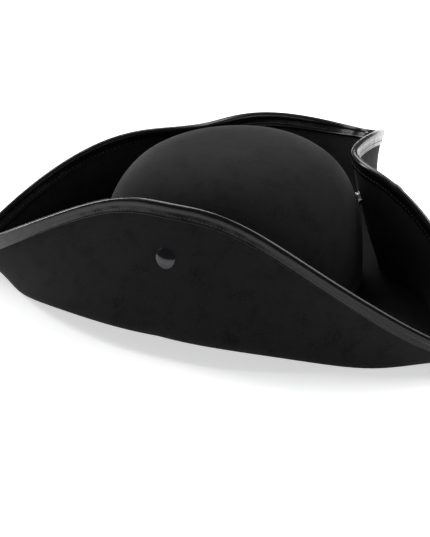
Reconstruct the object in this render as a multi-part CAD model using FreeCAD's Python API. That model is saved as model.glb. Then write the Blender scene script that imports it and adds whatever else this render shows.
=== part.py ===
"""Pirate hat: a stiffened black felt tricorn with a bound, wired brim. Sizes in millimetres.

The origin is the centre of the head opening, on the middle plane of the brim felt there.
+Z goes up through the crown, -Y to the front and +Y to the rear corner of the brim,
and +X to the wearer's left. Polar angles run in degrees from +X towards +Y.
"""
import FreeCAD, Part
import functools
import math
import os
from collections import namedtuple
from FreeCAD import Vector

# Felt and crown
FELT = 2.8                   # thickness of the felt, brim and crown alike
CROWN_LENGTH = 103.0         # outer half length of the crown at its base, along Y
CROWN_WIDTH = 90.7           # outer half width of the crown at its base, along X
CROWN_HEIGHT = 105.7         # top of the crown above the origin
CROWN_WALL_POWER = 2.8       # how square the dome is at its shoulder, seen from its wall
CROWN_TOP_POWER = 3.25       # and seen from its top
COLLAR_HEIGHT = 8.0          # the brim's inner edge, turned up inside the crown
COLLAR_GAP = 0.05            # between collar and crown

# Brim: three corners with an upturned flap between each two
SIDE_CORNER_ANGLE = 81.5     # degrees from the front to each side corner
SIDE_CORNER_REACH = 202.3    # from the axis to the point
SIDE_CORNER_HEIGHT = -0.4
REAR_CORNER_REACH = 222.8
REAR_CORNER_HEIGHT = 46.1
CORNER_ROUNDING = 7.1        # degrees of edge over which a point is rounded off
FRONT_FLAP_HEIGHT = 87.0
SIDE_FLAP_HEIGHT = 85.0
FRONT_FLAP_GAP = 0.56        # between crown and flap where they are riveted together
SIDE_FLAP_GAP = 4.3
FRONT_FLAP_FLOOR = 17.0      # how far the brim starts out flat under the middle of a flap
SIDE_FLAP_FLOOR = 29.0
CORNER_FLOOR = 103.5         # and under a corner
FLAP_LEAN = 99.0             # degrees from the horizontal: over 90 leans in to the crown
CORNER_LEAN = 27.0
FLAP_STIFFNESS = 95.0        # length of the nearly straight run below a flap's top edge
CORNER_STIFFNESS = 49.0
FRONT_REACH_POWER = 2.86     # how close to a corner each of these turns from the flap's value to
SIDE_REACH_POWER = 2.48      # the corner's: a higher power turns later
FRONT_HEIGHT_POWER = 2.58
SIDE_HEIGHT_POWER = 4.13
LEAN_POWER = 6.3
FLOOR_POWER = 1.3
STIFFNESS_POWER = 4.1

# Binding, wire and thread
BINDING_WIDTH = 7.5          # how far the folded tape covers each face of the felt
BINDING_TAPE = 0.7
GLUE_LINE = 0.1
WIRE_RADIUS = 0.6
JOINER_RADIUS = 1.1
JOINER_WALL = 0.4
JOINER_LENGTH = 10.0
JOINER_ANGLE = 66.0          # where the wire's two ends meet
WIRE_END_GAP = 0.4
SMALL_GAP = 0.1
THREAD_WIDTH = 0.6
THREAD_HEIGHT = 0.3
THREAD_LIFT = 0.02
BINDING_SEAM_INSET = 1.5     # from the tape's edge to its seam
HEADLINE_SEAM_RISE = 4.5     # the seam through crown and collar, above the origin

# Sweatband and label
SWEATBAND_HEIGHT = 32.0
SWEATBAND_THICKNESS = 1.2
SWEATBAND_SEAM_RISE = 2.0    # above the sweatband's lower edge
LABEL_WIDTH = 26.0
LABEL_HEIGHT = 16.0
LABEL_THICKNESS = 0.4
LABEL_RISE = 9.0             # above the sweatband's lower edge

# Rivets that hold the flaps up against the crown
FRONT_RIVET_HEIGHT = 52.7    # above the origin
SIDE_RIVET_HEIGHT = 57.5
RIVET_CAP_RADIUS = 7.5
RIVET_CAP_RISE = 3.2
RIVET_CAP_RIM = 0.7
RIVET_SEAT = 0.4             # how deep the metal beds into the felt
RIVET_POST_RADIUS = 1.6
RIVET_BACK_RADIUS = 5.0
RIVET_BACK_THICKNESS = 1.8
RIVET_BACK_FILLET = 0.7
RIVET_SOCKET_SKIN = 0.5      # metal left over the post's end
SPACER_RADIUS = 5.4

# How finely the curved surfaces are laid out
FRONT_STEPS = 34
SIDE_STEPS = 26
SECTION_STEPS = 12
CROWN_STEPS = 14
CROWDING = 0.55              # how much closer the sections stand near the corners
LEG_SHARES = (1.0, 0.6, 0.25)            # rows across each leg of the folded tape, by its width
BEND_TURNS = (90, 60, 30, 0, -30, -60, -90)
WIRE_TURNS = (0, 45, 90, 135, 180)       # half way round the wire
EDGE_SAMPLES = 200           # steps along a section when a distance is measured on it
HALVINGS = 40                # of an interval, when a place is searched for
SMALL_ANGLE = 0.05           # steps for finding a surface's directions
SMALL_SHARE = 0.001

Corner = namedtuple("Corner", "angle reach height")
Flap = namedtuple("Flap", "name first last height gap floor rivet_height "
                          "reach_power height_power steps")

FRONT = -90.0
FULL_TURN = 360.0
right_corner = Corner(FRONT - SIDE_CORNER_ANGLE, SIDE_CORNER_REACH, SIDE_CORNER_HEIGHT)
left_corner = Corner(FRONT + SIDE_CORNER_ANGLE, SIDE_CORNER_REACH, SIDE_CORNER_HEIGHT)
rear_corner = Corner(90.0, REAR_CORNER_REACH, REAR_CORNER_HEIGHT)
right_corner_again = Corner(right_corner.angle + FULL_TURN, right_corner.reach, right_corner.height)

FLAPS = [
    Flap("front", right_corner, left_corner, FRONT_FLAP_HEIGHT, FRONT_FLAP_GAP, FRONT_FLAP_FLOOR,
         FRONT_RIVET_HEIGHT, FRONT_REACH_POWER, FRONT_HEIGHT_POWER, FRONT_STEPS),
    Flap("left", left_corner, rear_corner, SIDE_FLAP_HEIGHT, SIDE_FLAP_GAP, SIDE_FLAP_FLOOR,
         SIDE_RIVET_HEIGHT, SIDE_REACH_POWER, SIDE_HEIGHT_POWER, SIDE_STEPS),
    Flap("right", rear_corner, right_corner_again, SIDE_FLAP_HEIGHT, SIDE_FLAP_GAP, SIDE_FLAP_FLOOR,
         SIDE_RIVET_HEIGHT, SIDE_REACH_POWER, SIDE_HEIGHT_POWER, SIDE_STEPS),
]


def polar(angle, radius, height):
    turn = math.radians(angle)
    return Vector(radius * math.cos(turn), radius * math.sin(turn), height)


def head_radius(angle, inset=0.0):
    """Distance from the axis to the crown's oval base, or to an oval inside it."""
    length = CROWN_LENGTH - inset
    width = length * CROWN_WIDTH / CROWN_LENGTH
    turn = math.radians(angle)
    return length * width / math.hypot(length * math.cos(turn), width * math.sin(turn))


def crown_share(height):
    """Width of the crown at a height, as a share of its base."""
    return (1 - (height / CROWN_HEIGHT) ** CROWN_TOP_POWER) ** (1 / CROWN_WALL_POWER)


def last_below(is_below, low, high):
    """The end of the stretch, from low on, for which is_below holds."""
    for _ in range(HALVINGS):
        middle = (low + high) / 2
        if is_below(middle):
            low = middle
        else:
            high = middle
    return low


# ---------------------------------------------------------------- the brim's middle surface

def bezier_weights(share):
    rest = 1 - share
    return rest ** 3, 3 * rest ** 2 * share, 3 * rest * share ** 2, share ** 3


def blend(middle, corner, closeness, power):
    return middle + (corner - middle) * closeness ** power


@functools.lru_cache(maxsize=None)
def pinned_reach(flap):
    """Reach of a flap's middle edge that leaves its gap to the crown at the rivet."""
    angle = (flap.first.angle + flap.last.angle) / 2
    lean = math.radians(FLAP_LEAN)
    base = head_radius(angle)
    shoulder_height = flap.height - FLAP_STIFFNESS * math.sin(lean)

    def under_rivet(share):
        _, _, third, last = bezier_weights(share)
        return third * shoulder_height + last * flap.height < flap.rivet_height

    first, second, third, last = bezier_weights(last_below(under_rivet, 0.5, 1.0))
    target = base * crown_share(flap.rivet_height) + flap.gap + FELT / 2
    fixed = first * base + second * (base + flap.floor)
    return (target - fixed + third * FLAP_STIFFNESS * math.cos(lean)) / (third + last)


@functools.lru_cache(maxsize=None)
def brim_section(angle):
    """Four control points (radius, height) of the brim's middle line at one angle."""
    angle = (angle - right_corner.angle) % FULL_TURN + right_corner.angle
    flap = next(f for f in FLAPS if angle <= f.last.angle)
    half = (flap.last.angle - flap.first.angle) / 2
    from_middle = (angle - flap.first.angle) / half - 1
    rounding = CORNER_ROUNDING / half
    away = math.hypot(1 - abs(from_middle), rounding) - rounding
    closeness = 1 - away / (math.hypot(1, rounding) - rounding)
    corner = flap.first if from_middle < 0 else flap.last
    reach = blend(pinned_reach(flap), corner.reach, closeness, flap.reach_power)
    height = blend(flap.height, corner.height, closeness, flap.height_power)
    lean = math.radians(blend(FLAP_LEAN, CORNER_LEAN, closeness, LEAN_POWER))
    floor = blend(flap.floor, CORNER_FLOOR, closeness, FLOOR_POWER)
    stiffness = blend(FLAP_STIFFNESS, CORNER_STIFFNESS, closeness, STIFFNESS_POWER)
    base = head_radius(angle)
    shoulder = (reach - stiffness * math.cos(lean), height - stiffness * math.sin(lean))
    return (base, 0.0), (base + floor, 0.0), shoulder, (reach, height)


def brim_point(angle, share):
    """A point of the middle surface, share 0 at the headline and 1 at the outer edge."""
    points = brim_section(angle)
    weights = bezier_weights(share)
    radius = sum(w * p[0] for w, p in zip(weights, points))
    height = sum(w * p[1] for w, p in zip(weights, points))
    return polar(angle, radius, height)


def brim_frame(angle, share):
    """Directions along the edge, out along the section, and up off the inner face."""
    along = brim_point(angle + SMALL_ANGLE, share) - brim_point(angle - SMALL_ANGLE, share)
    start, end = max(share - SMALL_SHARE, 0.0), min(share + SMALL_SHARE, 1.0)
    out = brim_point(angle, end) - brim_point(angle, start)
    along.normalize()
    out = out - along * out.dot(along)
    out.normalize()
    return along, out, out.cross(along)


def brim_offset(angle, share, off):
    return brim_point(angle, share) + brim_frame(angle, share)[2] * off


@functools.lru_cache(maxsize=None)
def share_from_edge(angle, distance):
    """The share of the section that lies a distance in from the outer edge."""
    run, here = 0.0, brim_point(angle, 1.0)
    for i in reversed(range(EDGE_SAMPLES)):
        there = brim_point(angle, i / EDGE_SAMPLES)
        step = (there - here).Length
        if run + step >= distance:
            return (i + 1 - (distance - run) / step) / EDGE_SAMPLES
        run += step
        here = there
    return 0.0


def near_edge(angle, distance, off):
    return brim_offset(angle, share_from_edge(angle, distance), off)


def off_edge(angle, outward, off):
    """A point past the felt's outer edge, in the plane square to that edge."""
    _, out, up = brim_frame(angle, 1.0)
    return brim_point(angle, 1.0) + out * outward + up * off


def section_angles():
    angles = []
    for flap in FLAPS:
        for i in range(flap.steps):
            even = i / flap.steps
            share = even - CROWDING * math.sin(2 * math.pi * even) / (2 * math.pi)
            angles.append(flap.first.angle + share * (flap.last.angle - flap.first.angle))
    return angles


ANGLES = section_angles()


# ---------------------------------------------------------------- closed rings of felt, tape and thread

def interpolated(points, closed):
    curve = Part.BSplineCurve()
    knots = [float(i) for i in range(len(points) + (1 if closed else 0))]
    curve.interpolate(Points=points, PeriodicFlag=closed, Parameters=knots)
    return curve


def ring_face(rows):
    """A smooth face through closed rows of points that run round the hat."""
    around = [interpolated(row, True) for row in rows]
    columns = list(zip(*(curve.getPoles() for curve in around)))
    if len(rows) == 2:
        poles, mults, knots, degree = columns, [2, 2], [0.0, 1.0], 1
    else:
        across = [interpolated(list(column), False) for column in columns]
        poles = [curve.getPoles() for curve in across]
        mults, knots, degree = across[0].getMultiplicities(), across[0].getKnots(), across[0].Degree
    surface = Part.BSplineSurface()
    surface.buildFromPolesMultsKnots(poles, around[0].getMultiplicities(), mults,
                                     around[0].getKnots(), knots, True, False, 3, degree)
    return surface.toShape()


def ring_solid(panels):
    """A closed ring whose section is bounded by panels, each a list of rows."""
    shell = Part.makeShell([ring_face(rows) for rows in panels])
    shell.sewShape()
    solid = Part.makeSolid(shell)
    if solid.Volume < 0:
        solid.reverse()
    return solid


def row(place):
    return [place(angle) for angle in ANGLES]


def joined(rows):
    """Ruled panels between each two neighbouring rows, the last back to the first."""
    return [[rows[i], rows[(i + 1) % len(rows)]] for i in range(len(rows))]


def oval_band(outer_inset, inner_inset, low, high):
    """An upright band between two ovals that lie inside the crown's base oval."""
    def oval(inset):
        length = CROWN_LENGTH - inset
        width = length * CROWN_WIDTH / CROWN_LENGTH
        ellipse = Part.Ellipse(Vector(0, length, low), Vector(width, 0, low), Vector(0, 0, low))
        return Part.Face(Part.Wire(ellipse.toShape()))
    return oval(outer_inset).cut(oval(inner_inset)).extrude(Vector(0, 0, high - low))


# ---------------------------------------------------------------- pieces

def make_crown():
    """The blocked dome: two meridians revolved, then narrowed to the head's oval."""
    def meridian(inset):
        points = []
        for i in range(CROWN_STEPS + 1):
            turn = math.pi / 2 * i / CROWN_STEPS
            share = math.cos(turn) ** (2 / CROWN_WALL_POWER) if i < CROWN_STEPS else 0.0
            rise = math.sin(turn) ** (2 / CROWN_TOP_POWER)
            height = CROWN_HEIGHT - inset
            points.append(Vector((CROWN_LENGTH - inset) * share, 0,
                                 FELT / 2 + (height - FELT / 2) * rise))
        curve = Part.BSplineCurve()
        curve.interpolate(Points=points, InitialTangent=Vector(0, 0, 1),
                          FinalTangent=Vector(-1, 0, 0))
        return curve.toShape(), points[0], points[-1]

    outer, outer_foot, outer_top = meridian(0.0)
    inner, inner_foot, inner_top = meridian(FELT)
    rim = Part.makeLine(inner_foot, outer_foot)
    axis = Part.makeLine(outer_top, inner_top)
    wall = Part.Face(Part.Wire(Part.__sortEdges__([rim, outer, axis, inner])))
    dome = wall.revolve(Vector(0, 0, 0), Vector(0, 0, 1), FULL_TURN)
    narrow = FreeCAD.Matrix()
    narrow.scale(CROWN_WIDTH / CROWN_LENGTH, 1.0, 1.0)
    return dome.transformGeometry(narrow)


def make_brim():
    shares = [i / SECTION_STEPS for i in range(SECTION_STEPS + 1)]
    half = FELT / 2
    upper = [row(lambda a, s=s: brim_offset(a, s, half)) for s in shares]
    lower = [row(lambda a, s=s: brim_offset(a, s, -half)) for s in reversed(shares)]
    outer_wall = FELT + COLLAR_GAP
    inner_wall = outer_wall + FELT

    def foot(inset, height):
        return row(lambda a: polar(a, head_radius(a, inset), height))

    collar = [lower[-1], foot(inner_wall, -half), foot(inner_wall, half + COLLAR_HEIGHT),
              foot(outer_wall, half + COLLAR_HEIGHT), foot(outer_wall, half), upper[0]]
    strips = [[collar[i], collar[i + 1]] for i in range(len(collar) - 1)]
    return ring_solid([upper, [upper[-1], lower[0]], lower] + strips)


BEND_RADIUS = FELT / 2 + GLUE_LINE                      # inside the folded tape
WIRE_OFFSET = JOINER_RADIUS + SMALL_GAP                 # wire's centre, out from the felt's edge
BEND_OFFSET = WIRE_OFFSET + JOINER_RADIUS + SMALL_GAP - BEND_RADIUS


def make_binding():
    """The folded tape: two legs on the felt's faces and a round bend over the wire."""
    legs = [BINDING_WIDTH * share for share in LEG_SHARES]

    def skin(off):
        rows = [row(lambda a, s=s: near_edge(a, s, off)) for s in legs]
        for degrees in BEND_TURNS:
            turn = math.radians(degrees)
            reach, side = BEND_OFFSET + off * math.cos(turn), off * math.sin(turn)
            rows.append(row(lambda a, r=reach, s=side: off_edge(a, r, s)))
        rows += [row(lambda a, s=s: near_edge(a, s, -off)) for s in reversed(legs)]
        return rows

    inside, outside = skin(BEND_RADIUS), skin(BEND_RADIUS + BINDING_TAPE)
    return ring_solid([inside, outside, [inside[0], outside[0]], [inside[-1], outside[-1]]])


def make_brim_wire():
    def arc(start):
        rows = []
        for degrees in WIRE_TURNS:
            turn = math.radians(start + degrees)
            reach = WIRE_OFFSET + WIRE_RADIUS * math.cos(turn)
            side = WIRE_RADIUS * math.sin(turn)
            rows.append(row(lambda a, r=reach, s=side: off_edge(a, r, s)))
        return rows

    first = arc(0)
    second = arc(180)
    second[0], second[-1] = first[-1], first[0]
    along, out, up = brim_frame(JOINER_ANGLE, 1.0)
    size = 4 * WIRE_RADIUS
    gap = Part.makeBox(WIRE_END_GAP, size, size, Vector(-WIRE_END_GAP / 2, -size / 2, -size / 2))
    gap.Placement = placed_along(off_edge(JOINER_ANGLE, WIRE_OFFSET, 0), along, out, up)
    return ring_solid([first, second]).cut(gap)


def placed_along(origin, x_axis, y_axis, z_axis):
    matrix = FreeCAD.Matrix(x_axis.x, y_axis.x, z_axis.x, origin.x,
                            x_axis.y, y_axis.y, z_axis.y, origin.y,
                            x_axis.z, y_axis.z, z_axis.z, origin.z, 0, 0, 0, 1)
    return FreeCAD.Placement(matrix)


def make_wire_joiner():
    along, _, _ = brim_frame(JOINER_ANGLE, 1.0)
    middle = off_edge(JOINER_ANGLE, WIRE_OFFSET, 0)
    start = middle - along * (JOINER_LENGTH / 2)
    bore = JOINER_RADIUS - JOINER_WALL
    return Part.makeCylinder(JOINER_RADIUS, JOINER_LENGTH, start, along).cut(
        Part.makeCylinder(bore, JOINER_LENGTH, start, along))


def make_binding_stitching():
    """One seam on each face of the tape, near its inner edge."""
    seams = []
    surface = BEND_RADIUS + BINDING_TAPE + THREAD_LIFT
    near = BINDING_WIDTH - BINDING_SEAM_INSET - THREAD_WIDTH / 2
    far = near + THREAD_WIDTH
    for side in (1, -1):
        low, high = side * surface, side * (surface + THREAD_HEIGHT)
        corners = [(near, low), (far, low), (far, high), (near, high)]
        rows = [row(lambda a, s=s, h=h: near_edge(a, s, h)) for s, h in corners]
        seams.append(ring_solid(joined(rows)))
    return Part.makeCompound(seams)


SWEATBAND_OUTER = FELT + COLLAR_GAP + FELT + SMALL_GAP  # inset of its outer face
SWEATBAND_INNER = SWEATBAND_OUTER + SWEATBAND_THICKNESS
SWEATBAND_LOW = -FELT / 2


def make_headline_stitching():
    low = HEADLINE_SEAM_RISE - THREAD_WIDTH / 2
    return oval_band(-THREAD_LIFT - THREAD_HEIGHT, -THREAD_LIFT, low, low + THREAD_WIDTH)


def make_sweatband():
    return oval_band(SWEATBAND_OUTER, SWEATBAND_INNER, SWEATBAND_LOW,
                     SWEATBAND_LOW + SWEATBAND_HEIGHT)


def make_sweatband_stitching():
    low = SWEATBAND_LOW + SWEATBAND_SEAM_RISE - THREAD_WIDTH / 2
    face = SWEATBAND_INNER + THREAD_LIFT
    return oval_band(face, face + THREAD_HEIGHT, low, low + THREAD_WIDTH)


def make_care_label():
    """A blank label sewn flat to the back of the sweatband's inner face."""
    low = SWEATBAND_LOW + LABEL_RISE
    face = SWEATBAND_INNER + THREAD_LIFT
    band = oval_band(face, face + LABEL_THICKNESS, low, low + LABEL_HEIGHT)
    cutter = Part.makeBox(LABEL_WIDTH, CROWN_LENGTH, LABEL_HEIGHT,
                          Vector(-LABEL_WIDTH / 2, 0, low))
    return band.common(cutter)


def rivet_axis(flap):
    """Where a rivet goes through the flap's middle surface, and its outward direction."""
    angle = (flap.first.angle + flap.last.angle) / 2
    share = last_below(lambda s: brim_point(angle, s).z < flap.rivet_height, 0.5, 1.0)
    return brim_point(angle, share), brim_frame(angle, share)[2] * -1


def depth_to_crown(start, inward, inset):
    """Distance from a point to the crown's outer face, or to its inner face."""
    def outside(depth):
        point = start + inward * depth
        length, height = CROWN_LENGTH - inset, CROWN_HEIGHT - inset
        width = length * CROWN_WIDTH / CROWN_LENGTH
        spread = math.hypot(point.x / width, point.y / length)
        return spread ** CROWN_WALL_POWER + (point.z / height) ** CROWN_TOP_POWER > 1
    return last_below(outside, 0.0, CROWN_LENGTH / 2)


def make_rivet(flap):
    """A domed cap with its post, a flat back cap, and the spacer between flap and crown."""
    place, outward = rivet_axis(flap)
    inward = outward * -1
    wall = depth_to_crown(place, inward, FELT)
    base = FELT / 2 - RIVET_SEAT
    back = -wall + RIVET_SEAT
    tip = back - RIVET_BACK_THICKNESS + RIVET_SOCKET_SKIN
    rim = base + RIVET_CAP_RIM
    rise = RIVET_CAP_RISE - RIVET_CAP_RIM
    ball = (RIVET_CAP_RADIUS ** 2 + rise ** 2) / (2 * rise)
    dome = Part.makeSphere(ball, Vector(0, 0, rim + rise - ball)).common(
        Part.makeCylinder(RIVET_CAP_RADIUS, RIVET_CAP_RISE, Vector(0, 0, base)))
    post = Part.makeCylinder(RIVET_POST_RADIUS, base - tip + SMALL_GAP, Vector(0, 0, tip))
    stud = dome.fuse(post)
    stud.Placement = FreeCAD.Placement(place, FreeCAD.Rotation(Vector(0, 0, 1), outward))

    plate = Part.makeCylinder(RIVET_BACK_RADIUS, RIVET_BACK_THICKNESS, place + outward * back, inward)
    rims = [edge for edge in plate.Edges if isinstance(edge.Curve, Part.Circle)]
    inner_rim = max(rims, key=lambda edge: edge.Curve.Center.distanceToPoint(place))
    plate = plate.makeFillet(RIVET_BACK_FILLET, [inner_rim])
    spacer = Part.makeCylinder(SPACER_RADIUS, wall, place, inward)
    return stud, plate.cut(stud), spacer.cut(stud)


def nearest_solid(shape, near):
    """The one solid of a cut shape that lies nearest to a point."""
    return min(shape.Solids, key=lambda solid: (solid.CenterOfMass - near).Length)


def build():
    crown, brim = make_crown(), make_brim()
    parts = {}
    for flap in FLAPS:
        stud, plate, spacer = make_rivet(flap)
        crown = crown.cut(Part.makeCompound([stud, plate]))
        brim = brim.cut(stud)
        place, outward = rivet_axis(flap)
        between = place - outward * (FELT / 2 + flap.gap / 2)
        spacer = spacer.cut(brim).cut(crown)
        parts[flap.name + "_rivet_stud"] = stud
        parts[flap.name + "_rivet_back"] = plate
        parts[flap.name + "_spacer"] = nearest_solid(spacer, between)
    parts["crown"] = crown
    parts["brim"] = brim
    parts["brim_binding"] = make_binding()
    parts["brim_wire"] = make_brim_wire()
    parts["wire_joiner"] = make_wire_joiner()
    parts["binding_stitching"] = make_binding_stitching()
    parts["headline_stitching"] = make_headline_stitching()
    parts["sweatband"] = make_sweatband()
    parts["sweatband_stitching"] = make_sweatband_stitching()
    parts["care_label"] = make_care_label()
    return parts


os.makedirs("parts", exist_ok=True)
for name, shape in build().items():
    solids = shape.Solids
    volume = sum(solid.Volume for solid in solids)
    print(f"{name}: {len(solids)} solid(s), {volume:.1f} mm3, valid {shape.isValid()}")
    shape.exportStep(f"parts/{name}.step")
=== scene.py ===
"""Felt tricorn on a pale studio floor. Metres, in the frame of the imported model.

The origin is the centre of the head opening, -Y is the front of the hat and +Z goes up through
the crown. Sections follow the hat as it is made: crown, brim, headline, sweatband, wire, binding,
rivets, then the studio round it.
"""
import math

import bmesh
import bpy
import numpy as np
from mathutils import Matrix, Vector, noise


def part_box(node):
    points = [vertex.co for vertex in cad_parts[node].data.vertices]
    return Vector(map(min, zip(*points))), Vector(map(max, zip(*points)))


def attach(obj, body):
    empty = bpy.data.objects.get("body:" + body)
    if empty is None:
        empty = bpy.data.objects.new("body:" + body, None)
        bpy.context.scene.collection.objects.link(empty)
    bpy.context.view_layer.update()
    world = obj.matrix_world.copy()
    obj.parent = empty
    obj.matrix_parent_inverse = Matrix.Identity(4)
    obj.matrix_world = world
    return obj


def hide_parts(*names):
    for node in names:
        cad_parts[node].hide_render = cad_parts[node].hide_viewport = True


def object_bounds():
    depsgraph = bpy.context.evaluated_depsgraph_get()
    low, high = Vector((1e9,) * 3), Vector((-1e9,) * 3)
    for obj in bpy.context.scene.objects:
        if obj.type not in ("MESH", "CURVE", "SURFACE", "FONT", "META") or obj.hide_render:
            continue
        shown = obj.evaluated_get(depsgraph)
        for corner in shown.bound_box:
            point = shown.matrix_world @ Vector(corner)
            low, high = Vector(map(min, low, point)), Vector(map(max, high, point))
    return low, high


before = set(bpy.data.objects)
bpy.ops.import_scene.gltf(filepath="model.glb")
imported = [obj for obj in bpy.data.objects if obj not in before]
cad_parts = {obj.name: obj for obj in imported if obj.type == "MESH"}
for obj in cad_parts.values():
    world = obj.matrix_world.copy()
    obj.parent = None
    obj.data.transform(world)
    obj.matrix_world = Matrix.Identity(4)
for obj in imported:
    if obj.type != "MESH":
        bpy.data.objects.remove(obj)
cad_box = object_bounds()

# ---------------------------------------------------------------------------------------------
# Crown: one round of black wool felt, steamed over a wooden block and stiffened with size. It is
# a squarish dome on an oval base, a little uneven from the block, open at the foot.
# ---------------------------------------------------------------------------------------------
MM = 0.001
crown_low, crown_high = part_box("crown")
FELT = 2.8 * MM
CROWN_LENGTH = crown_high.y                 # half length of the oval base
CROWN_WIDTH = crown_high.x                  # half width
CROWN_HEIGHT = crown_high.z
CROWN_FOOT = crown_low.z
CROWN_WALL_POWER = 2.8                      # how square the shoulder is, seen from the wall
CROWN_TOP_POWER = 3.25                      # and from the top
CROWN_AROUND = 288
CROWN_UP = 72
BLOCK_WAVE = 0.35 * MM                      # unevenness left by steaming and hand blocking
BLOCK_WAVELENGTH = 38 * MM
HELD_HEIGHT = 12 * MM                       # the seam at the foot holds the felt even up to here


def uneven(points, directions, wave, wavelength):
    """Move points along their directions by a smooth fixed noise."""
    steps = [noise.noise(Vector(p) / wavelength) * wave for p in points]
    return points + directions * np.array(steps)[:, None]


def solid_mesh(name, points, faces, material):
    """A closed smooth mesh that rides on the hat and takes a finish."""
    mesh = bpy.data.meshes.new(name)
    mesh.from_pydata([tuple(p) for p in points], [], faces)
    shape = bmesh.new()
    shape.from_mesh(mesh)
    bmesh.ops.remove_doubles(shape, verts=shape.verts, dist=1e-7)
    bmesh.ops.recalc_face_normals(shape, faces=shape.faces)
    shape.to_mesh(mesh)
    shape.free()
    mesh.shade_smooth()
    mesh.materials.append(material)
    piece = bpy.data.objects.new(name, mesh)
    bpy.context.scene.collection.objects.link(piece)
    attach(piece, "root")
    return piece


def add_node(tree, kind, inputs=None, **settings):
    """Add a node with its settings; an input is a value, or a (node, output) pair to link."""
    made = tree.nodes.new(kind)
    for name, value in settings.items():
        setattr(made, name, value)
    for socket, value in (inputs or {}).items():
        if isinstance(value, tuple) and isinstance(value[0], bpy.types.Node):
            tree.links.new(value[0].outputs[value[1]], made.inputs[socket])
        else:
            made.inputs[socket].default_value = value
    return made


def srgb(code):
    """Linear RGBA of an sRGB hex colour such as 1a1a1b."""
    channels = [int(code[i:i + 2], 16) / 255 for i in (0, 2, 4)]
    linear = [c / 12.92 if c <= 0.04045 else ((c + 0.055) / 1.055) ** 2.4 for c in channels]
    return (*linear, 1.0)


def new_material(name):
    """An empty node material and its tree, with the surface shader and output in place."""
    material = bpy.data.materials.new(name)
    material.use_nodes = True
    tree = material.node_tree
    tree.nodes.clear()
    shader = add_node(tree, "ShaderNodeBsdfPrincipled")
    add_node(tree, "ShaderNodeOutputMaterial", {"Surface": (shader, "BSDF")})
    return material, tree, shader


# Black wool felt: matted fibres with no weave, pressed and sized. The eye gets a deep matt black
# with a faint mottle, short fibres in every direction, and a pale bloom where it is seen edge on.
# Fibres are 0.02 mm thick, too fine to show, so they are drawn in tufts of about 1.2 mm.
TUFT = 1.2 * MM
MOTTLE = 14 * MM
felt, tree, shader = new_material("black_wool_felt")
place = add_node(tree, "ShaderNodeTexCoord")
tufts = add_node(tree, "ShaderNodeTexNoise", {"Vector": (place, "Object"), "Scale": 1 / TUFT,
                                              "Detail": 4.0, "Roughness": 0.65, "Distortion": 1.2})
mottle = add_node(tree, "ShaderNodeTexNoise", {"Vector": (place, "Object"), "Scale": 1 / MOTTLE,
                                               "Detail": 5.0, "Roughness": 0.6})
mixed = add_node(tree, "ShaderNodeMath", {0: (tufts, "Fac"), 1: (mottle, "Fac")}, operation="ADD")
tone = add_node(tree, "ShaderNodeValToRGB", {"Fac": (mixed, "Value")})
tone.color_ramp.elements[0].position = 0.67
tone.color_ramp.elements[0].color = srgb("141415")
tone.color_ramp.elements[1].position = 1.33
tone.color_ramp.elements[1].color = srgb("232324")
nap = add_node(tree, "ShaderNodeBump", {"Height": (tufts, "Fac"), "Distance": 0.35 * MM,
                                        "Strength": 0.6})
for socket, value in (("Roughness", 0.95), ("IOR", 1.5), ("Specular IOR Level", 0.12),
                      ("Sheen Weight", 0.16), ("Sheen Roughness", 0.26),
                      ("Sheen Tint", srgb("f2f2f4"))):
    shader.inputs[socket].default_value = value
tree.links.new(tone.outputs["Color"], shader.inputs["Base Color"])
tree.links.new(nap.outputs["Normal"], shader.inputs["Normal"])


def dome(inset):
    """Rings of points up one face of the crown, and the top point."""
    turns = np.linspace(0, math.pi / 2, CROWN_UP + 1)[:-1]
    share = np.cos(turns) ** (2 / CROWN_WALL_POWER)
    rise = np.sin(turns) ** (2 / CROWN_TOP_POWER)
    top = CROWN_HEIGHT - inset
    around = np.linspace(0, 2 * math.pi, CROWN_AROUND, endpoint=False)
    length = CROWN_LENGTH - inset
    width = length * CROWN_WIDTH / CROWN_LENGTH
    rings = np.stack([np.outer(share, width * np.cos(around)),
                      np.outer(share, length * np.sin(around)),
                      np.outer(CROWN_FOOT + (top - CROWN_FOOT) * rise, np.ones(CROWN_AROUND))], -1)
    return np.vstack([rings.reshape(-1, 3), [[0, 0, top]]])


outer, inner = dome(0.0), dome(FELT)
push = outer - inner
push /= np.linalg.norm(push, axis=1)[:, None]
held = np.minimum(1, (outer[:, 2] - CROWN_FOOT) / HELD_HEIGHT)[:, None]
lift = uneven(outer, push, BLOCK_WAVE, BLOCK_WAVELENGTH) - outer
outer, inner = outer + lift * held, inner + lift * held
points = np.vstack([outer, inner])
faces = []
for base in (0, len(outer)):
    for k in range(CROWN_UP - 1):
        for i in range(CROWN_AROUND):
            a, b = base + k * CROWN_AROUND + i, base + k * CROWN_AROUND + (i + 1) % CROWN_AROUND
            faces.append((a, b, b + CROWN_AROUND, a + CROWN_AROUND))
    last = base + (CROWN_UP - 1) * CROWN_AROUND
    for i in range(CROWN_AROUND):
        faces.append((last + i, last + (i + 1) % CROWN_AROUND, base + len(outer) - 1))
for i in range(CROWN_AROUND):
    j = (i + 1) % CROWN_AROUND
    faces.append((i, j, len(outer) + j, len(outer) + i))
crown = solid_mesh("crown_felt", points, faces, felt)
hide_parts("crown")

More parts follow.
